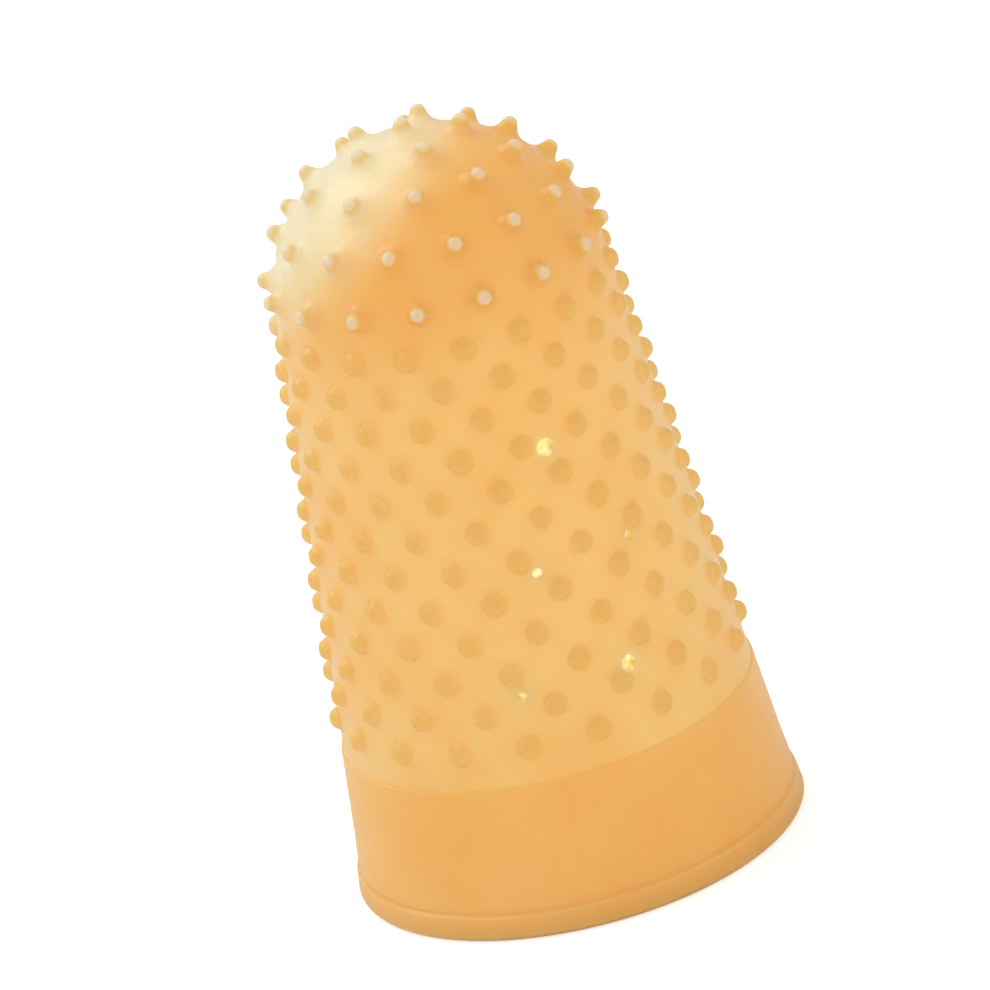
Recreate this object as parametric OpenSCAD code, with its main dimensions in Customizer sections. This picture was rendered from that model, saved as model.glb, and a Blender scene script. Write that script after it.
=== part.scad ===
// Finger cot: a thimble-shaped rubber sleeve for gripping paper, moulded in one piece.
// It stands on its open mouth. The origin is the middle of the mouth and +Z runs to the closed tip.
// Angles around it are counted from -Y, which is the front, towards +X.

/* [Sleeve] */
// Height from the mouth to the top of the bare wall
cot_h = 37.5; // [34:0.5:44]
// Outer diameter of the bare wall at the mouth
mouth_d = 21.6; // [18:0.1:24]
// Outer diameter of the round tip
tip_d = 16.1; // [13:0.1:17.5]
// Thickness of the rubber wall
wall_t = 1; // [0.7:0.05:1.4]

/* [Cuff and lip] */
// Height of the smooth cuff above the mouth
cuff_h = 7.6; // [4:0.1:12]
// How far the cuff stands proud of the wall above it
cuff_proud = 0.12; // [0.06:0.01:0.4]
// Height of the lip around the mouth
lip_h = 1.35; // [0.9:0.05:2.5]
// How far the lip stands proud of the cuff
lip_proud = 0.15; // [0.1:0.01:0.5]
// Rounding of the lower edge of the lip
lip_round = 0.35; // [0.1:0.05:0.5]

/* [Nubs on the wall] */
// Number of nubs in each row around the wall
nubs_round = 18; // [12:1:22]
// Angle of the first nub of the lowest row
nub_start = -8; // [-20:1:20]
// Gap from the top of the cuff to the middle of the lowest row
nub_gap = 1.85; // [1:0.05:4]
// Height from one row to the next
nub_pitch = 1.8; // [1.5:0.01:3]
// Diameter of a nub at its foot
nub_foot_d = 1.2; // [0.8:0.05:1.5]
// Diameter of a nub at its shoulder
nub_shoulder_d = 0.86; // [0.5:0.02:1.1]
// Height of the shoulder above the wall
nub_shoulder_h = 0.3; // [0.1:0.02:0.4]
// Diameter of the flat top of a nub
nub_top_d = 0.36; // [0.2:0.02:0.6]
// Height of a nub above the wall
nub_h = 0.48; // [0.42:0.02:0.8]
// Height of the straight edge around the foot of every nub
foot_h = 0.08; // [0.06:0.01:0.09]

/* [Nubs on the tip] */
// Angle along the round of the tip from one ring of nubs to the next
ring_step = 19; // [15:0.5:22]
// Spacing of the nubs around a ring
ring_spacing = 3.1; // [2.4:0.1:4]
// Start angle of each ring, from the one at the top down
ring_start = [0, 16, -2, -17, -10];
// Diameter of a tip nub at its flared foot
tip_foot_d = 1.6; // [1:0.05:2]
// Diameter of a tip nub at its waist
tip_waist_d = 0.92; // [0.6:0.02:1]
// Height of the waist above the wall
tip_waist_h = 0.34; // [0.1:0.02:0.5]
// Diameter of the flat top of a tip nub
tip_top_d = 0.5; // [0.2:0.02:0.58]
// Height of a tip nub above the wall
tip_nub_h = 0.84; // [0.6:0.02:1.2]

/* [Air holes] */
// Diameter of an air hole through the wall
vent_d = 0.85; // [0.5:0.05:1]
// Number of air holes in each row, from the lowest row up
vents_in_row = [2, 2, 1];
// Height of the lowest row above the top of the cuff
vent_gap = 4.3; // [3:0.1:7]
// Height from one row of air holes to the next
vent_pitch = 5.75; // [4:0.05:6.5]
// Angle of the first air hole of the lowest row
vent_start = -6.5; // [-30:0.5:30]
// Angle between neighbours in one row
vent_step = 32.5; // [20:0.5:60]
// Angle that each row is turned on from the one below
vent_turn = 13; // [0:0.5:40]

/* [Hidden] */

// Smoothness of the sleeve and of the small round features
sleeve_fn = 120;
small_fn = 16;
// Depth that a nub is rooted in the wall
root = 0.25;
// Reach of a cut past the face that it goes through
past = 1;
// Points along the rounding of the lip
lip_steps = 6;
// The front of the sleeve faces -Y
front = -90;

// The round of the tip is a sphere, and the wall below it is a cone. The cone dips under the sphere by
// a hair where they meet, so that they cross cleanly and no edge shows.
dip = 0.004;
tip_r = tip_d / 2;
tip_z = cot_h - tip_r;
mouth_r = mouth_d / 2;
mouth_to_tip = norm([mouth_r, tip_z]);
meet_angle = acos((tip_r - dip) / mouth_to_tip) - atan2(tip_z, mouth_r);
meet_r = (tip_r - dip) * cos(meet_angle);
meet_z = tip_z + (tip_r - dip) * sin(meet_angle);
round_z = tip_z + tip_r * sin(meet_angle - acos(1 - dip / tip_r));

// The hollow keeps one wall thickness inside that shape
hollow_r = tip_r - wall_t;
hollow_meet_r = (hollow_r - dip) * cos(meet_angle);
hollow_meet_z = tip_z + (hollow_r - dip) * sin(meet_angle);

// Rows of nubs fill the cone, and rings of nubs fill the round above it
first_row_z = cuff_h + nub_gap;
row_count = 1 + floor((round_z - nub_foot_d / 2 - first_row_z) / nub_pitch);
ring_count = len(ring_start);

// Radius of the bare wall at height z
function wall_r(z) = meet_r + (meet_z - z) * tan(meet_angle);

// Radius of the hollow at height z
function hollow_at(z) = hollow_meet_r + (hollow_meet_z - z) * tan(meet_angle);

// Points of an arc about a centre in the radius and height plane
function arc(c, r, from, to, steps) =
    [for (i = [0:steps]) c + r * [cos(from + (to - from) * i / steps), sin(from + (to - from) * i / steps)]];

// Outline from the axis out along the mouth, up the lip, the cuff and the wall into the round tip
function sleeve_outline() =
    let (
        lip_r = wall_r(0) + cuff_proud + lip_proud,
        lip_top_r = wall_r(lip_h) + cuff_proud + lip_proud
    )
    concat(
        [[0, 0]],
        arc([lip_r - lip_round, lip_round], lip_round, -90, 0, lip_steps),
        [
            [lip_top_r, lip_h - lip_proud],
            [wall_r(lip_h) + cuff_proud, lip_h],
            [wall_r(cuff_h - cuff_proud) + cuff_proud, cuff_h - cuff_proud],
            [wall_r(cuff_h), cuff_h],
            [meet_r, meet_z],
            [0, meet_z]
        ]
    );

// A sphere about the middle of the round tip
module tip_ball(r) {
    translate([0, 0, tip_z]) sphere(r = r, $fn = sleeve_fn);
}

// Outside of the sleeve as a solid form
module sleeve_form() {
    rotate_extrude($fn = sleeve_fn) polygon(sleeve_outline());
    tip_ball(tip_r);
}

// Space for the finger
module hollow() {
    translate([0, 0, -past])
        cylinder(h = hollow_meet_z + past, r1 = hollow_at(-past), r2 = hollow_meet_r, $fn = sleeve_fn);
    tip_ball(hollow_r);
}

// One nub: a short straight foot rooted in the wall, a flank up to a shoulder or waist, and a flat top
module nub(foot_d, middle_d, middle_h, top_d, h) {
    rotate_extrude($fn = small_fn)
        polygon([
            [0, -root],
            [foot_d / 2, -root],
            [foot_d / 2, foot_h],
            [middle_d / 2, middle_h],
            [top_d / 2, h],
            [0, h]
        ]);
}

// Puts its children on the wall at a height and an angle, square to the wall
module on_wall(z, angle) {
    rotate([0, 0, front + angle])
        translate([wall_r(z), 0, z])
            rotate([0, 90 - meet_angle, 0])
                children();
}

// Puts its children on the round tip at a latitude and an angle, square to the surface
module on_tip(latitude, angle) {
    translate([0, 0, tip_z])
        rotate([0, 0, front + angle])
            rotate([0, 90 - latitude, 0])
                translate([0, 0, tip_r])
                    children();
}

// Staggered rows of low round nubs on the wall
module wall_nubs() {
    for (row = [0:row_count - 1])
        for (i = [0:nubs_round - 1])
            on_wall(first_row_z + row * nub_pitch, nub_start + (i + (row % 2) / 2) * 360 / nubs_round)
                nub(nub_foot_d, nub_shoulder_d, nub_shoulder_h, nub_top_d, nub_h);
}

// Rings of taller pointed nubs on the tip, with as many in a ring as its length takes
module tip_nubs() {
    for (ring = [0:ring_count - 1]) {
        latitude = 90 - ring * ring_step;
        count = max(1, round(2 * PI * tip_r * cos(latitude) / ring_spacing));
        for (i = [0:count - 1])
            on_tip(latitude, ring_start[ring] + i * 360 / count)
                nub(tip_foot_d, tip_waist_d, tip_waist_h, tip_top_d, tip_nub_h);
    }
}

// Small air holes on the front, in rows that step around the wall
module vents() {
    for (row = [0:len(vents_in_row) - 1])
        for (i = [0:vents_in_row[row] - 1])
            on_wall(cuff_h + vent_gap + row * vent_pitch, vent_start + row * vent_turn + i * vent_step)
                cylinder(h = 2 * (wall_t + past), d = vent_d, center = true, $fn = small_fn);
}

module finger_cot() {
    color("#F0B36B")
        difference() {
            union() {
                sleeve_form();
                wall_nubs();
                tip_nubs();
            }
            hollow();
            vents();
        }
}

finger_cot();
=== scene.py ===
# %% [markdown]
# # A rubber finger cot
#
# This lesson dresses one small object: a thimble-shaped sleeve of amber rubber, 22 mm across the mouth
# and 38 mm tall, that people slip over a finger to count paper. It has a smooth cuff, staggered rows of
# low nubs up the wall, rings of taller nubs on the closed tip, and a few air holes pricked through it.
#
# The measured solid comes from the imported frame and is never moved. Everything new is built around it,
# modelled in millimetres because that is how the object is measured, and brought to metres once.

# %% Load the measured frame
from math import acos, atan2, cos, degrees, floor, hypot, pi, radians, sin, tan

import bmesh
import bpy
from mathutils import Matrix, Vector


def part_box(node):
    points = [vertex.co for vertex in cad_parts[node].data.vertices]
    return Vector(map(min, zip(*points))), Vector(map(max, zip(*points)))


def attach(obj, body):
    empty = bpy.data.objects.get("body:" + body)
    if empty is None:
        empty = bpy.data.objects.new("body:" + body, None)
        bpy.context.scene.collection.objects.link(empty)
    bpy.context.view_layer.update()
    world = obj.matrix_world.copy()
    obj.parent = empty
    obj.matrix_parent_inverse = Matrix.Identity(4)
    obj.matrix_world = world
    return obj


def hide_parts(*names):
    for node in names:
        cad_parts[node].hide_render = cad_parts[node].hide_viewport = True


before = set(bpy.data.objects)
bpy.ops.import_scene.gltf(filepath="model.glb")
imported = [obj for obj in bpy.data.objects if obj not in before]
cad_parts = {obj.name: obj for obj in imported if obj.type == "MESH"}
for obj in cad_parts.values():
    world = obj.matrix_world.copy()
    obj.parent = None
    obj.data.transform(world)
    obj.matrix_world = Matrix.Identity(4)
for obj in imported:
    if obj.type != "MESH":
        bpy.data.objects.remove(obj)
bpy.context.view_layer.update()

lowest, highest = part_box("finger_cot")
print("the frame's box, in mm:", [round(1000 * (b - a), 2) for a, b in zip(lowest, highest)])

# %% [markdown]
# ## The bare form
#
# Seen from the side, the sleeve is a straight taper that runs into a half ball. A few sizes settle all
# of it: the width at the mouth, the width of the round tip and the height. The angle at which the taper
# leaves the ball follows from the tangent between them, so it is worked out and not measured.

# %% Sizes of the bare form, in millimetres
MM = 0.001
COT_H = 37.5
MOUTH_R = 10.8
TIP_R = 8.05
WALL_T = 1.0
TIP_Z = COT_H - TIP_R

TAPER = acos(TIP_R / hypot(MOUTH_R, TIP_Z)) - atan2(TIP_Z, MOUTH_R)
MEET_R = TIP_R * cos(TAPER)
MEET_Z = TIP_Z + TIP_R * sin(TAPER)


def wall_r(z, inset=0.0):
    """Radius of the taper at height z, or of a wall that lies inset inside it."""
    return MEET_R + (MEET_Z - z) * tan(TAPER) - inset / cos(TAPER)


print("taper in degrees:", round(degrees(TAPER), 2), "- radius at the mouth:", round(wall_r(0), 2))

# %% [markdown]
# ## Places on the skin
#
# Angles go around the sleeve from the front, which faces -Y, towards +X. Each nub stands square to the
# skin, so its place is more than a point: it is a centre, a direction out, and two directions along the
# skin. The skin bends away from that flat little compass, and `bend` says how fast in each direction.

# %% A place on the wall and a place on the tip


def spot(centre, out, across, bend):
    """A place on the skin: its centre, its outward direction and the two directions along it."""
    return {"centre": centre, "out": out, "across": across, "up": out.cross(across), "bend": bend}


def around(angle):
    """Unit vectors out from the axis and along the ring, at an angle from the front."""
    turn = radians(angle - 90)
    return Vector((cos(turn), sin(turn), 0)), Vector((-sin(turn), cos(turn), 0))


def on_wall(z, angle):
    """A place on the taper, which bends around the axis and is straight along it."""
    away, across = around(angle)
    out = away * cos(TAPER) + Vector((0, 0, sin(TAPER)))
    centre = away * wall_r(z) + Vector((0, 0, z))
    return spot(centre, out, across, (cos(TAPER) / wall_r(z), 0.0))


def on_tip(latitude, angle):
    """A place on the round tip, which bends as much one way as the other."""
    away, across = around(angle)
    out = away * cos(radians(latitude)) + Vector((0, 0, sin(radians(latitude))))
    return spot(Vector((0, 0, TIP_Z)) + out * TIP_R, out, across, (1 / TIP_R, 1 / TIP_R))


print("front of the wall at 15 mm:", [round(c, 2) for c in on_wall(15, 0)["centre"]])

# %% [markdown]
# ## The outer skin
#
# A turned shape is one outline swept around an axis, and `bmesh.ops.spin` is the tool for it. The
# outline holds the rounded lip, the shallow groove above it, the cuff, the small step at the cuff's top
# and the taper. In the rows of nubs it is cut at a sixth of their pitch, and the sweep has twelve steps
# for each nub, so that every nub gets a small square patch of the skin to itself.

# %% Where the rows of nubs are
CUFF_H = 7.6
CUFF_PROUD = 0.12
LIP_H = 1.35
LIP_PROUD = 0.15

ROWS = 12
NUBS_ROUND = 18
FIRST_ROW_Z = CUFF_H + 1.85
ROW_PITCH = 1.8
NUB_START = -8.0

PATCH_CUTS = 6
PATCH_TURN = 180 / NUBS_ROUND
WALL_STEPS = 2 * NUBS_ROUND * PATCH_CUTS
WALL_START = NUB_START - PATCH_TURN / 2
ROWS_LOW = FIRST_ROW_Z - ROW_PITCH / 2
ROWS_HIGH = ROWS_LOW + ROWS * ROW_PITCH
print("rows of nubs from", round(ROWS_LOW, 2), "to", round(ROWS_HIGH, 2), "mm; steps around:", WALL_STEPS)

# %% An arc, and a sweep around the axis


def arc(centre, radius, start, end, steps):
    """Points of an arc in the radius and height plane, from one angle to another."""
    turns = [radians(start + (end - start) * i / steps) for i in range(steps + 1)]
    return [(centre[0] + radius * cos(t), centre[1] + radius * sin(t)) for t in turns]


def sweep(bm, points, steps, angle=0.0):
    """Joins (radius, height) points in a chain, spins it once around Z, and returns the new faces."""
    known = set(bm.faces)
    away, _ = around(angle)
    verts = [bm.verts.new(away * r + Vector((0, 0, z))) for r, z in points]
    edges = [bm.edges.new(pair) for pair in zip(verts, verts[1:])]
    turn = {"cent": (0, 0, 0), "axis": (0, 0, 1), "dvec": (0, 0, 0), "angle": 2 * pi}
    bmesh.ops.spin(bm, geom=verts + edges, steps=steps, use_merge=True, **turn)
    return [face for face in bm.faces if face not in known]


# %% The outline of lip, cuff and taper
LIP_FACE = wall_r(0) + CUFF_PROUD + LIP_PROUD
UNDER_ROUND = 0.38
SHOULDER_ROUND = 0.16
SHOULDER_Z = LIP_H - 0.22
RIM_EDGE = LIP_FACE - 0.6
BAND_TOP_Z = 8.15


def swollen(z, swell):
    """A point at height z that stands proud of the taper by swell."""
    return wall_r(z) + swell, z


under = arc((LIP_FACE - UNDER_ROUND, UNDER_ROUND), UNDER_ROUND, -90, -6, 6)
shoulder_r = LIP_FACE - SHOULDER_Z * tan(TAPER) - SHOULDER_ROUND
shoulder = arc((shoulder_r, SHOULDER_Z), SHOULDER_ROUND, 0, 75, 4)
groove_swells = [(1.38, -0.04), (1.5, -0.015), (1.7, 0.015), (2.1, 0.035), (2.6, 0.015)]
groove = [swollen(z, CUFF_PROUD + swell) for z, swell in groove_swells]
cuff = [swollen(z, CUFF_PROUD) for z in (3.2, 4.2, 5.2, 6.2, 7.0)]
step_z = CUFF_H - CUFF_PROUD
step = arc((wall_r(step_z), step_z), CUFF_PROUD, 8, 82, 5)
band = [swollen(CUFF_H + 0.03, 0.015), swollen(CUFF_H + 0.16, 0.0), swollen(BAND_TOP_Z, 0.0)]
rows = [swollen(ROWS_LOW + ROW_PITCH * i / PATCH_CUTS, 0.0) for i in range(ROWS * PATCH_CUTS + 1)]

skin = bmesh.new()
NUB_NUMBER = skin.faces.layers.int.new("nub")
outline = [(RIM_EDGE, 0.0)] + under + shoulder + groove + cuff + step + band + rows
wall_faces = sweep(skin, outline, WALL_STEPS, WALL_START)
print("outer skin up to the tip:", len(wall_faces), "faces")

# %% [markdown]
# ## The bands of the tip
#
# The tip's nubs sit in rings, and a ring near the top is shorter, so it holds fewer of them. Each ring
# gets its own band of skin, swept with as many steps as suit its own nubs. Neighbouring bands don't
# share their edges, so `bridge_loops` stitches them together, and one face closes the very top.

# %% Sweep a band for each ring of nubs
RING_STEP = 19.0
RING_SPACING = 3.1
RING_STARTS = {4: -10.0, 3: -17.0, 2: -2.0, 1: 16.0}
BAND_HALF = 7.6
BAND_ROWS = 6
RING_CUTS = 9


def tip_height(latitude):
    return TIP_Z + TIP_R * sin(radians(latitude))


rings = []
for number, start in RING_STARTS.items():
    latitude = 90 - number * RING_STEP
    count = round(2 * pi * TIP_R * cos(radians(latitude)) / RING_SPACING)
    outline = arc((0, TIP_Z), TIP_R, latitude - BAND_HALF, latitude + BAND_HALF, BAND_ROWS)
    faces = sweep(skin, outline, count * RING_CUTS, start - 180 / count)
    rings.append({"latitude": latitude, "count": count, "start": start, "faces": faces})
print("nubs in each ring, from the lowest up:", [ring["count"] for ring in rings])

# %% Stitch the bands and close the top
NEAR = 0.0001


def border(bm, z):
    """The open edges of the skin at a height."""
    open_edges = [edge for edge in bm.edges if edge.is_boundary]
    return [edge for edge in open_edges if all(abs(vert.co.z - z) < NEAR for vert in edge.verts)]


seam_low = ROWS_HIGH
for ring in rings:
    seam_high = tip_height(ring["latitude"] - BAND_HALF)
    bmesh.ops.bridge_loops(skin, edges=border(skin, seam_low) + border(skin, seam_high))
    seam_low = tip_height(ring["latitude"] + BAND_HALF)
crown = bmesh.ops.contextual_create(skin, geom=border(skin, seam_low))["faces"][0]
print("open edges left, all at the mouth:", sum(edge.is_boundary for edge in skin.edges) == WALL_STEPS)

# %% [markdown]
# ## The inside
#
# The inside is smooth, and one wall thickness in from the bare form. It is swept with as many steps as
# the outside, so that the two rims match point for point when they are bridged into the flat rim. Only
# now is the skin a closed shell, and only now can Blender tell which side of a face is out.

# %% Sweep the inside and close the rim
INNER_ROUND = 0.15
INNER_HEIGHTS = (27.5, 24.0, 20.5, 17.0, 13.5, 10.0, 7.0, 4.5, 2.5, 1.2, 0.5)

inner_tip = arc((0, TIP_Z), TIP_R - WALL_T, 90, degrees(TAPER), 14)
inner_wall = [(wall_r(z, WALL_T), z) for z in INNER_HEIGHTS]
inner_edge = arc((wall_r(INNER_ROUND, WALL_T) + INNER_ROUND, INNER_ROUND), INNER_ROUND, 180, 270, 4)
sweep(skin, inner_tip + inner_wall + inner_edge, WALL_STEPS, WALL_START)

pole = [vert for vert in skin.verts if hypot(vert.co.x, vert.co.y) < NEAR]
bmesh.ops.remove_doubles(skin, verts=pole, dist=NEAR)
bmesh.ops.bridge_loops(skin, edges=border(skin, 0.0))
bmesh.ops.recalc_face_normals(skin, faces=skin.faces)
print("closed:", not any(edge.is_boundary for edge in skin.edges), "- top faces up:", crown.normal.z > 0)

# %% [markdown]
# ## One open face for each nub
#
# To grow a round nub from a square patch, the patch's little faces are dissolved into one many-sided
# face that keeps the points of its border. On the wall the patches that get a nub alternate like the
# black squares of a chessboard; on the tip every patch of a band gets one.

# %% Group the small faces by nub


def angle_of(face):
    """Angle of a face from the front, from 0 to 360."""
    middle = face.calc_center_median()
    return degrees(atan2(middle.y, middle.x) + pi / 2) % 360


wall_patches = {}
for face in wall_faces:
    row = floor((face.calc_center_median().z - ROWS_LOW) / ROW_PITCH)
    column = floor(((angle_of(face) - WALL_START) % 360) / PATCH_TURN)
    if 0 <= row < ROWS and (row + column) % 2 == 0:
        wall_patches.setdefault((row, column), []).append(face)

tip_patches = {}
for index, ring in enumerate(rings):
    turn = 360 / ring["count"]
    for face in ring["faces"]:
        number = floor(((angle_of(face) - ring["start"] + turn / 2) % 360) / turn)
        tip_patches.setdefault((index, number), []).append(face)
print("patches:", len(wall_patches), "on the wall and", len(tip_patches), "on the tip")

# %% Dissolve each patch into one face


def opened(bm, faces):
    return bmesh.ops.dissolve_faces(bm, faces=faces, use_verts=False)["region"][0]


wall_open = []
for (row, column), faces in wall_patches.items():
    place = on_wall(FIRST_ROW_Z + row * ROW_PITCH, NUB_START + column * PATCH_TURN)
    wall_open.append((opened(skin, faces), place))

tip_open = [(crown, on_tip(90, 0))]
for (index, number), faces in tip_patches.items():
    ring = rings[index]
    place = on_tip(ring["latitude"], ring["start"] + number * 360 / ring["count"])
    tip_open.append((opened(skin, faces), place))

for face, _ in wall_open + tip_open:
    face.normal_update()
print("all look out:", all(face.normal.dot(place["out"]) > 0.9 for face, place in wall_open + tip_open))

# %% [markdown]
# ## Growing the nubs
#
# A nub is a small turned shape too, but it has to flow out of the skin. Its open face is extruded again
# and again, and after each extrusion the new border is set on a circle with its own radius and lift.
# The two profiles below are what the eye sees: the wall's nubs are low buttons, and the tip's are taller
# and pointed, on a flared foot.

# %% Profiles of the two nubs, as (radius, lift) from the foot up
WALL_NUB = [(0.68, 0.0), (0.615, 0.025), (0.555, 0.1), (0.49, 0.22)]
WALL_NUB += [(0.395, 0.35), (0.26, 0.44), (0.11, 0.475)]
WALL_NUB_H = 0.48
TIP_NUB = [(1.0, 0.0), (0.86, 0.03), (0.72, 0.085), (0.6, 0.17), (0.5, 0.29)]
TIP_NUB += [(0.43, 0.43), (0.37, 0.58), (0.31, 0.71), (0.21, 0.8), (0.09, 0.835)]
TIP_NUB_H = 0.84

# %% Set a face's border on a circle, and grow the nubs


def lifted(place, x, y, lift):
    """The point at (x, y) along the skin from a place's centre, lifted above the skin there."""
    drop = (place["bend"][0] * x * x + place["bend"][1] * y * y) / 2
    return place["centre"] + place["across"] * x + place["up"] * y + place["out"] * (lift - drop)


def set_circle(face, place, radius, lift):
    """Spaces the corners of a face evenly on a circle, turned as little as possible."""
    verts = [loop.vert for loop in face.loops]
    step_turn = 2 * pi / len(verts)
    offsets = []
    for i, vert in enumerate(verts):
        way = vert.co - place["centre"]
        offsets.append(atan2(way.dot(place["up"]), way.dot(place["across"])) - i * step_turn)
    start = atan2(sum(sin(o) for o in offsets), sum(cos(o) for o in offsets))
    for i, vert in enumerate(verts):
        turn = start + i * step_turn
        vert.co = lifted(place, radius * cos(turn), radius * sin(turn), lift)


def grow(bm, open_faces, profile, height):
    """Extrudes the open faces up through a profile, and closes each with a point in the middle."""
    places = [place for _, place in open_faces]
    tops = [face for face, _ in open_faces]
    for number, face in enumerate(tops):
        face[NUB_NUMBER] = number
    for radius, lift in profile:
        tops = bmesh.ops.extrude_discrete_faces(bm, faces=tops)["faces"]
        for face in tops:
            set_circle(face, places[face[NUB_NUMBER]], radius, lift)
    for peak in bmesh.ops.poke(bm, faces=tops)["verts"]:
        peak.co = lifted(places[peak.link_faces[0][NUB_NUMBER]], 0, 0, height)


grow(skin, wall_open, WALL_NUB, WALL_NUB_H)
grow(skin, tip_open, TIP_NUB, TIP_NUB_H)
tallest = max(vert.co.z for vert in skin.verts)
print("faces with all nubs:", len(skin.faces), "- tallest point in mm:", round(tallest, 2))

# %% [markdown]
# ## The air holes
#
# The holes are pricked through the rubber after moulding, wherever they fall, and one of them nicks a
# nub. Rubber closes up again around a needle, so some of them stay narrow. A Boolean does the same: a
# thin pin, flared a little where it leaves the skin so that the rim of the hole is soft, is taken away
# from the sleeve. The result replaces the mesh, and the pins are gone.

# %% Pins where the holes are, by angle, height and radius
VENTS = [(-6.5, 11.9, 0.22), (26.0, 11.9, 0.4), (6.5, 17.65, 0.24), (39.0, 17.65, 0.28)]
VENTS += [(19.5, 23.4, 0.425)]
PIN_REACH = 2.2
PIN_FLARE = [(0.0, -0.12), (0.02, -0.05), (0.07, 0.01), (0.14, 0.06), (0.14, 1.0)]
PIN_STEPS = 32

pins = bmesh.new()
for angle, z, radius in VENTS:
    place = on_wall(z, angle)
    known = set(pins.verts)
    flare = [(radius + wider, lift) for wider, lift in PIN_FLARE]
    sweep(pins, [(0.0, -PIN_REACH), (radius, -PIN_REACH)] + flare + [(0.0, flare[-1][1])], PIN_STEPS)
    new = [vert for vert in pins.verts if vert not in known]
    axes = Matrix((place["across"], place["up"], place["out"])).transposed().to_4x4()
    bmesh.ops.transform(pins, matrix=Matrix.Translation(place["centre"]) @ axes, verts=new)
bmesh.ops.remove_doubles(pins, verts=pins.verts, dist=NEAR)
bmesh.ops.recalc_face_normals(pins, faces=pins.faces)
print("pins:", len(VENTS), "- closed:", not any(edge.is_boundary for edge in pins.edges))

# %% Turn both into objects and prick the holes


def to_object(bm, name):
    """Makes an object of a bmesh, puts it in the scene, and frees the bmesh."""
    mesh = bpy.data.meshes.new(name)
    bm.to_mesh(mesh)
    bm.free()
    made = bpy.data.objects.new(name, mesh)
    bpy.context.scene.collection.objects.link(made)
    return made


cot = to_object(skin, "rubber_cot")
pin_object = to_object(pins, "vent_pins")
prick = cot.modifiers.new("air holes", "BOOLEAN")
prick.operation = "DIFFERENCE"
prick.solver = "EXACT"
prick.object = pin_object
bpy.context.view_layer.update()
pricked = bpy.data.meshes.new_from_object(cot.evaluated_get(bpy.context.evaluated_depsgraph_get()))
cot.modifiers.clear()
cot.data = pricked
bpy.data.objects.remove(pin_object)
print("faces after pricking:", len(pricked.polygons))

# %% [markdown]
# ## What the material has to know
#
# The colour of the rubber changes from the wall to the top of a nub, where shade and a highlight are
# painted, around a hole, where light is painted, and from the outside to the powdered inside. The
# material can't see shapes, so three numbers are stored at every point of the skin: `relief` is its
# height above the bare form, `hole` is 1 inside an air hole and fades out around it, and `inside` is 1
# on the inner skin and 0 on the outer.

# %% Measure a point of the skin
RELIEF_FROM = CUFF_H + 0.5
HOLE_FADE = 0.12
HOLE_NEAR = 3 * WALL_T
vent_spots = [(on_wall(z, angle), radius) for angle, z, radius in VENTS]


def above_form(point):
    """Height of a point above the bare form, in millimetres, and less than 0 in the wall and inside."""
    if point.z > MEET_Z:
        return (point - Vector((0, 0, TIP_Z))).length - TIP_R
    return (hypot(point.x, point.y) - wall_r(point.z)) * cos(TAPER)


def hole_at(point):
    """1 inside an air hole, fading to 0 at a short way from its edge."""
    best = 0.0
    for place, radius in vent_spots:
        way = point - place["centre"]
        off_axis = (way - place["out"] * way.dot(place["out"])).length
        if way.length < HOLE_NEAR:
            best = max(best, min(1.0, 1 - (off_axis - radius) / HOLE_FADE))
    return best


# %% Store the three numbers
relief = pricked.attributes.new("relief", "FLOAT", "POINT")
hole = pricked.attributes.new("hole", "FLOAT", "POINT")
inside = pricked.attributes.new("inside", "FLOAT", "POINT")
for vert in pricked.vertices:
    above = above_form(vert.co)
    relief.data[vert.index].value = max(above, 0.0) if vert.co.z > RELIEF_FROM else 0.0
    hole.data[vert.index].value = hole_at(vert.co)
    inside.data[vert.index].value = min(max(-above / WALL_T, 0.0), 1.0)
print("highest relief in mm:", round(max(item.value for item in relief.data), 2))

# %% Shade it smooth and bring it to metres
pricked.transform(Matrix.Scale(MM, 4))
pricked.shade_smooth()
size = [round(side / MM, 2) for side in cot.dimensions]
print("size in mm:", size, "- triangles:", sum(len(face.vertices) - 2 for face in pricked.polygons))

# %% [markdown]
# ## Amber rubber
#
# Natural rubber lets light in a millimetre or two before it comes out again, and this wall is only one
# millimetre thick, so it glows where it is bare and looks deeper where a nub adds to it. Subsurface
# scattering does part of that, and the colour paints the rest as painted shade. One flat colour under it
# would look like plastic, so a node group mixes the colour from a few named ones. The cuff and the round
# tip are richer than the wall, nubs are painted warm at the foot and deeper at the top as painted shade,
# and the tall ones end in a painted highlight, a paler pinkish crown. The upper left of the tip is painted
# pale as far as the turn to the back, as a painted glow, the rubber around each air hole is painted paler
# as painted light, and the inside is dusted with powder. A faint cloudiness of dipped rubber lies over all
# of it. The shader itself stays in the material.

# %% Helpers that add nodes
COLOR = "NodeSocketColor"
FLOAT = "NodeSocketFloat"
VECTOR = "NodeSocketVector"


def add(tree, kind, inputs=None, **settings):
    """Adds a node, applies its settings, and fills its inputs with values or with other nodes' outputs."""
    node = tree.nodes.new(kind)
    for name, value in settings.items():
        setattr(node, name, value)
    for name, value in (inputs or {}).items():
        if isinstance(value, bpy.types.NodeSocket):
            tree.links.new(value, node.inputs[name])
        else:
            node.inputs[name].default_value = value
    return node


def new_group(name, inputs, outputs):
    """A shader node group with its named sockets, and the two nodes that stand for them."""
    group = bpy.data.node_groups.new(name, "ShaderNodeTree")
    for title, kind, value in inputs:
        socket = group.interface.new_socket(title, in_out="INPUT", socket_type=kind)
        socket.default_value = value
    for title, kind in outputs:
        group.interface.new_socket(title, in_out="OUTPUT", socket_type=kind)
    return group, group.nodes.new("NodeGroupInput").outputs, group.nodes.new("NodeGroupOutput").inputs


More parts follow.
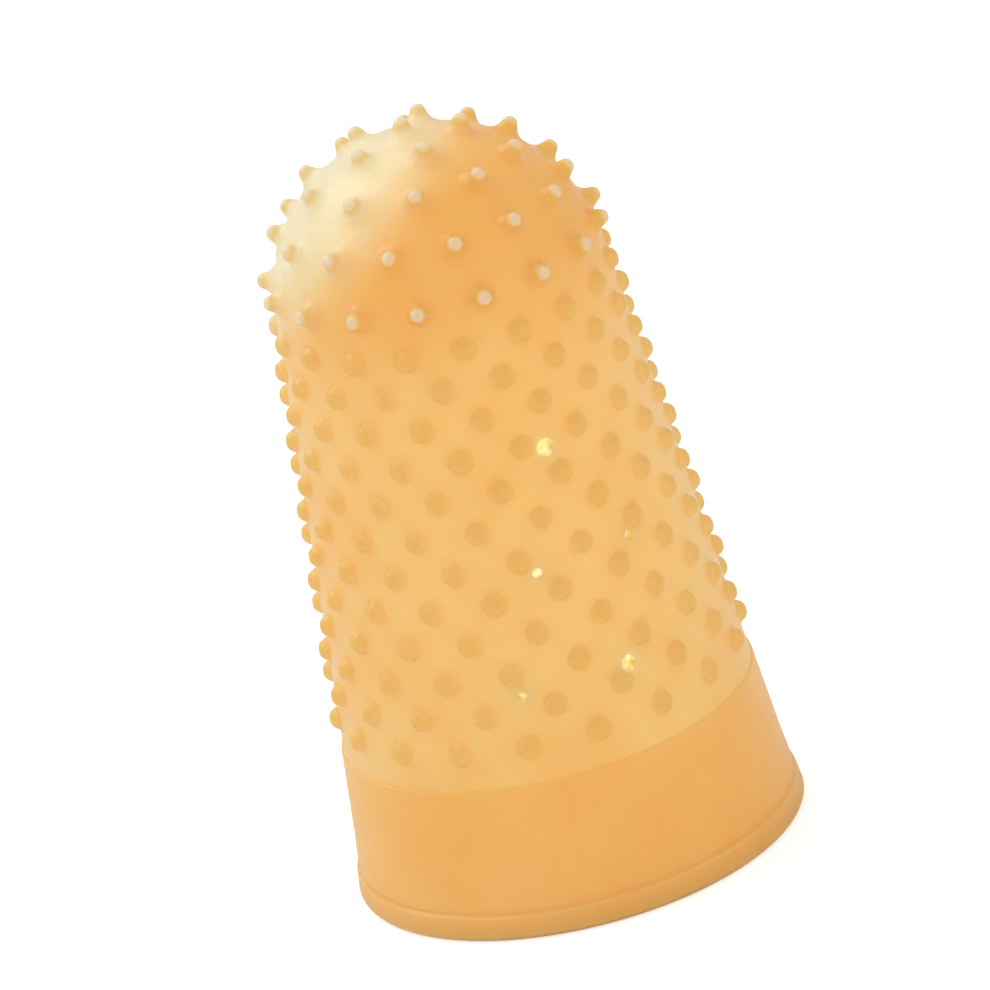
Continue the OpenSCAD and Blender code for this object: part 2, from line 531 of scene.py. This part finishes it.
def ramp(tree, value, low, high, to_low=0.0, to_high=1.0):
    """Maps a value smoothly from one range to another."""
    numbers = {"Value": value, "From Min": low, "From Max": high, "To Min": to_low, "To Max": to_high}
    return add(tree, "ShaderNodeMapRange", numbers, interpolation_type="SMOOTHSTEP").outputs["Result"]


def reckon(tree, operation, a, b):
    """The result of one operation on two numbers."""
    return add(tree, "ShaderNodeMath", {0: a, 1: b}, operation=operation).outputs[0]


def tint(tree, factor, a, b):
    """Mixes two colours, which are inputs 6 and 7 of the Mix node, and output 2."""
    return add(tree, "ShaderNodeMix", {0: factor, 6: a, 7: b}, data_type="RGBA").outputs[2]


# %% The colours of the rubber, and the group that mixes them
RUBBER_INPUTS = [
    ("Body", COLOR, (0.97, 0.62, 0.25, 1)),
    ("Deep", COLOR, (0.86, 0.45, 0.05, 1)),
    # The next two colours are painted shade on the nubs, where less light comes through the thicker rubber.
    ("Foot", COLOR, (0.95, 0.44, 0.12, 1)),
    ("Top", COLOR, (0.98, 0.46, 0.11, 1)),
    ("Lip", COLOR, (1.0, 0.5, 0.15, 1)),
    # The next colour is painted light: a pale glow on the tip and around the air holes.
    ("Pale", COLOR, (1.0, 0.85, 0.66, 1)),
    # The next colour is a painted highlight on the tips of the tall nubs.
    ("Crown", COLOR, (1.0, 0.62, 0.54, 1)),
    ("Powder", COLOR, (0.96, 0.84, 0.64, 1)),
    ("Relief", FLOAT, 0.0),
    ("Hole", FLOAT, 0.0),
    ("Inside", FLOAT, 0.0),
    ("Place", VECTOR, (0, 0, 0)),
]
rubber_group, given, result = new_group("dipped rubber colour", RUBBER_INPUTS, [("Color", COLOR)])
split = add(rubber_group, "ShaderNodeSeparateXYZ", {0: given["Place"]})
height = split.outputs["Z"]
print("colours to mix:", sum(kind == COLOR for _, kind, _ in RUBBER_INPUTS))

# %% Masks that follow the nubs, from the relief in millimetres
PAINTED_SHADE_RING_SHARE = 0.28
PAINTED_SHADE_TOP_SHARE = 0.75
PAINTED_HIGHLIGHT_SHARE = 0.55

# Painted shade: the foot and the top of each nub are painted deeper, where less light comes through the
# thicker rubber.
foot_up = ramp(rubber_group, given["Relief"], 0.03, 0.14, 0.0, PAINTED_SHADE_RING_SHARE)
foot_down = ramp(rubber_group, given["Relief"], 0.48, 0.75, 1.0, 0.3)
painted_shade_ring = reckon(rubber_group, "MULTIPLY", foot_up, foot_down)
painted_shade_top = ramp(rubber_group, given["Relief"], 0.2, 0.44, 0.0, PAINTED_SHADE_TOP_SHARE)
# Painted highlight: the tops of the tall nubs are painted a paler pink.
painted_highlight_top = ramp(rubber_group, given["Relief"], 0.5, 0.8, 0.0, PAINTED_HIGHLIGHT_SHARE)
off_nubs = ramp(rubber_group, given["Relief"], 0.15, 0.6, 1.0, 0.3)

# %% Masks that follow the height
CUFF_SHARE = 0.42
TIP_SHARE = 0.45

cuff_low = ramp(rubber_group, height, (CUFF_H + 0.1) * MM, (CUFF_H - 0.1) * MM, 0.0, CUFF_SHARE)
lip_low = ramp(rubber_group, height, (LIP_H + 0.15) * MM, (LIP_H - 0.45) * MM)
tip_high = ramp(rubber_group, height, 27 * MM, 33 * MM, 0.0, TIP_SHARE)

# %% Masks for the painted glow on the tip, the clouds, the painted light at the holes and the powder
# Painted light: the upper left of the tip is painted pale, a painted glow that fades off the nubs and
# towards the back.
PAINTED_LIGHT_WAY = (-0.6, 0.14, 0.79)
PAINTED_LIGHT_SHARE = 0.85
BACK_FROM = 0.3 * TIP_R * MM
BACK_TO = 0.75 * TIP_R * MM
CLOUD_SHARE = 0.22
PAINTED_HOLE_LIGHT_SHARE = 0.3
POWDER_SHARE = 0.5

from_tip = add(rubber_group, "ShaderNodeVectorMath", {0: given["Place"], 1: (0, 0, -TIP_Z * MM)}).outputs[0]
painted_light_way = tuple(part / (TIP_R * MM) for part in PAINTED_LIGHT_WAY)
along = add(rubber_group, "ShaderNodeVectorMath", {0: from_tip, 1: painted_light_way}, operation="DOT_PRODUCT")
painted_light_side = ramp(rubber_group, along.outputs["Value"], 0.4, 0.95, 0.0, PAINTED_LIGHT_SHARE)
off_back = ramp(rubber_group, split.outputs["Y"], BACK_FROM, BACK_TO, 1.0, 0.3)
painted_light_spot = reckon(rubber_group, "MULTIPLY", painted_light_side, off_nubs)
painted_light_patch = reckon(rubber_group, "MULTIPLY", painted_light_spot, off_back)

noise = add(rubber_group, "ShaderNodeTexNoise", {"Vector": given["Place"], "Scale": 190.0, "Detail": 3.0})
cloud = ramp(rubber_group, noise.outputs[0], 0.35, 0.68, 0.0, CLOUD_SHARE)
# Painted light: the rubber in and around each air hole is painted paler.
painted_hole_light = reckon(rubber_group, "MULTIPLY", given["Hole"], PAINTED_HOLE_LIGHT_SHARE)
powdered = ramp(rubber_group, given["Inside"], 0.6, 0.98, 0.0, POWDER_SHARE)

# %% Lay one tint over the next
# Some tints are painted light and shade: painted shade on the nubs, a painted highlight on the tall nubs'
# tops, and painted pale light on the tip and at the air holes.
tints = [(cuff_low, "Deep"), (lip_low, "Lip"), (tip_high, "Deep"), (cloud, "Deep"), (painted_shade_ring, "Foot")]
tints += [(painted_shade_top, "Top"), (painted_highlight_top, "Crown"), (painted_light_patch, "Pale"), (painted_hole_light, "Pale")]
tints += [(powdered, "Powder")]
colour = given["Body"]
for mask, name in tints:
    colour = tint(rubber_group, mask, colour, given[name])
rubber_group.links.new(colour, result["Color"])
print("tints:", len(tints), "- nodes in the colour group:", len(rubber_group.nodes))

# %% The group for the skin's fine grain
GRAIN_INPUTS = [("Place", VECTOR, (0, 0, 0)), ("Roughness", FLOAT, 0.34), ("Spread", FLOAT, 0.12)]
GRAIN_OUTPUTS = [("Roughness", FLOAT), ("Height", FLOAT)]
WIDE_SHARE = 1.6

grain_group, given, result = new_group("dipped rubber grain", GRAIN_INPUTS, GRAIN_OUTPUTS)
fine = add(grain_group, "ShaderNodeTexNoise", {"Vector": given["Place"], "Scale": 2600.0, "Detail": 2.0})
wide = add(grain_group, "ShaderNodeTexNoise", {"Vector": given["Place"], "Scale": 420.0, "Detail": 2.0})
around_middle = reckon(grain_group, "SUBTRACT", wide.outputs[0], 0.5)
spread = reckon(grain_group, "MULTIPLY", given["Spread"], around_middle)
grain_group.links.new(reckon(grain_group, "ADD", given["Roughness"], spread), result["Roughness"])
wide_part = reckon(grain_group, "MULTIPLY", wide.outputs[0], WIDE_SHARE)
grain_group.links.new(reckon(grain_group, "ADD", fine.outputs[0], wide_part), result["Height"])
print("nodes in the grain group:", len(grain_group.nodes))

# %% The material
rubber = bpy.data.materials.new("amber rubber")
rubber.use_nodes = True
tree = rubber.node_tree
shader = tree.nodes["Principled BSDF"]
where = add(tree, "ShaderNodeTexCoord").outputs["Object"]
colour_node = add(tree, "ShaderNodeGroup", node_tree=rubber_group)
grain_node = add(tree, "ShaderNodeGroup", node_tree=grain_group)
for name in ("relief", "hole", "inside"):
    stored = add(tree, "ShaderNodeAttribute", attribute_name=name).outputs["Fac"]
    tree.links.new(stored, colour_node.inputs[name.capitalize()])
for node in (colour_node, grain_node):
    tree.links.new(where, node.inputs["Place"])
grain_height = grain_node.outputs["Height"]
bump = add(tree, "ShaderNodeBump", {"Strength": 0.6, "Distance": 0.00006, "Height": grain_height})
tree.links.new(colour_node.outputs["Color"], shader.inputs["Base Color"])
tree.links.new(grain_node.outputs["Roughness"], shader.inputs["Roughness"])
tree.links.new(bump.outputs["Normal"], shader.inputs["Normal"])
LIGHT_REACH = 2 * MM
plain = {"Subsurface Weight": 1.0, "Subsurface Scale": LIGHT_REACH, "IOR": 1.5, "Specular IOR Level": 0.45}
for name, value in plain.items():
    shader.inputs[name].default_value = value
shader.inputs["Subsurface Radius"].default_value = (0.9, 1.0, 0.7)
cot.data.materials.clear()
cot.data.materials.append(rubber)

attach(cot, "root")
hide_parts("finger_cot")
print("the sleeve replaces the measured solid and has its finish")

# %% [markdown]
# ## The floor and the sky
#
# The object stands on a plain white floor under a white sky. The floor adds a little of its own white
# for the camera alone, so that the background is white while the object's shadow stays. It lies a hair
# below the rim, because two faces in one plane flicker, and it is clear from below, so that the hollow
# can be looked into.

# %% The floor
FLOOR_SIZE = 6.0
FLOOR_GAP = 0.00002
FLOOR_OWN_WHITE = 0.5

floor_mesh = bmesh.new()
bmesh.ops.create_grid(floor_mesh, x_segments=1, y_segments=1, size=FLOOR_SIZE)
bmesh.ops.translate(floor_mesh, verts=floor_mesh.verts, vec=(0, 0, -FLOOR_GAP))
ground = to_object(floor_mesh, "floor")

paper = bpy.data.materials.new("white paper")
paper.use_nodes = True
tree = paper.node_tree
paper_shader = tree.nodes["Principled BSDF"]
paper_shader.inputs["Base Color"].default_value = (0.93, 0.93, 0.93, 1)
paper_shader.inputs["Roughness"].default_value = 0.9
paper_shader.inputs["Specular IOR Level"].default_value = 0.1
paper_shader.inputs["Emission Color"].default_value = (1, 1, 1, 1)
rays = add(tree, "ShaderNodeLightPath").outputs
seen = reckon(tree, "MULTIPLY", rays["Is Camera Ray"], FLOOR_OWN_WHITE)
tree.links.new(seen, paper_shader.inputs["Emission Strength"])
clear = add(tree, "ShaderNodeBsdfTransparent").outputs[0]
from_below = add(tree, "ShaderNodeNewGeometry").outputs["Backfacing"]
floor_mix = add(tree, "ShaderNodeMixShader", {0: from_below, 1: paper_shader.outputs[0], 2: clear})
tree.links.new(floor_mix.outputs[0], tree.nodes["Material Output"].inputs["Surface"])
ground.data.materials.append(paper)
print("the floor lies", FLOOR_GAP / MM, "mm under the rim")

# %% The sky
SKY_STRENGTH = 0.6

world = bpy.data.worlds.new("white sky")
bpy.context.scene.world = world
world.use_nodes = True
sky = world.node_tree.nodes["Background"]
sky.inputs["Color"].default_value = (1, 1, 1, 1)
sky.inputs["Strength"].default_value = SKY_STRENGTH
print("sky strength:", SKY_STRENGTH)

# %% [markdown]
# ## The lamps
#
# The sky gives most of the light. A soft lamp in front and a warm one to the right shape the wall a
# little, and two more from the upper left, one of them behind, brighten the upper left of the tip, which
# also has a painted pale glow.
# The rubber also glows with light that comes through its wall from inside. On the floor no light gets
# in through the mouth, so three tiny lamps on the axis stand in for it. They light the thin wall, leave
# the nubs deeper, and show in the air holes.

# %% Soft lamps around the object
LAMP_AIM = Vector((0, 0, 0.02))
WHITE = (1, 1, 1)
WARM = (1.0, 0.82, 0.6)


def lamp(name, place, size, power, colour=WHITE):
    """A square soft lamp at a place, pointed at the object."""
    light = bpy.data.lights.new(name, "AREA")
    light.size = size
    light.energy = power
    light.color = colour
    made = bpy.data.objects.new(name, light)
    bpy.context.scene.collection.objects.link(made)
    made.location = place
    made.rotation_euler = (LAMP_AIM - Vector(place)).to_track_quat("-Z", "Y").to_euler()


lamp("key", (0.0, -0.65, 0.45), 0.6, 0.45)
lamp("fill", (0.55, -0.5, 0.25), 0.6, 0.6, WARM)
lamp("behind", (-0.22, 0.3, 0.5), 0.4, 0.85)
lamp("side", (-0.42, 0.05, 0.48), 0.2, 0.35)

# %% Tiny lamps inside it
GLOW_HEIGHTS = (0.006, 0.016, 0.026)
GLOW_POWER = 0.0009
GLOW_RADIUS = 0.003
GLOW_COLOUR = (0.8, 1.0, 0.9)

for z in GLOW_HEIGHTS:
    light = bpy.data.lights.new("glow", "POINT")
    light.energy = GLOW_POWER
    light.shadow_soft_size = GLOW_RADIUS
    light.color = GLOW_COLOUR
    glow = bpy.data.objects.new("glow", light)
    bpy.context.scene.collection.objects.link(glow)
    glow.location = (0, 0, z)

# %% [markdown]
# ## The camera
#
# The photograph looks down on the sleeve by about 21 degrees from far off, and the sleeve leans to the
# left in it. The camera stands in front, a long lens keeps the taper free of perspective, and the lean
# is a roll of the camera, because the sleeve itself stands upright on its mouth.

# %% Place the camera
LOOK_DOWN = radians(21.5)
ROLL = radians(14.3)
DISTANCE = 0.7
FRAME_WIDTH = 0.0475
SENSOR = 36.0
AIM = Vector((0, 0, 0.0185))

camera_data = bpy.data.cameras.new("camera")
camera_data.sensor_width = SENSOR
camera_data.lens = SENSOR * DISTANCE / FRAME_WIDTH
camera = bpy.data.objects.new("camera", camera_data)
bpy.context.scene.collection.objects.link(camera)
camera.location = AIM + DISTANCE * Vector((0, -cos(LOOK_DOWN), sin(LOOK_DOWN)))
facing = (AIM - camera.location).to_track_quat("-Z", "Y").to_matrix().to_4x4()
camera.rotation_euler = (facing @ Matrix.Rotation(-ROLL, 4, "Z")).to_euler()
camera_data.clip_start = 0.01
camera_data.clip_end = 50.0
bpy.context.scene.camera = camera
bpy.context.scene.view_settings.view_transform = "Standard"
print("lens in mm:", round(camera_data.lens))
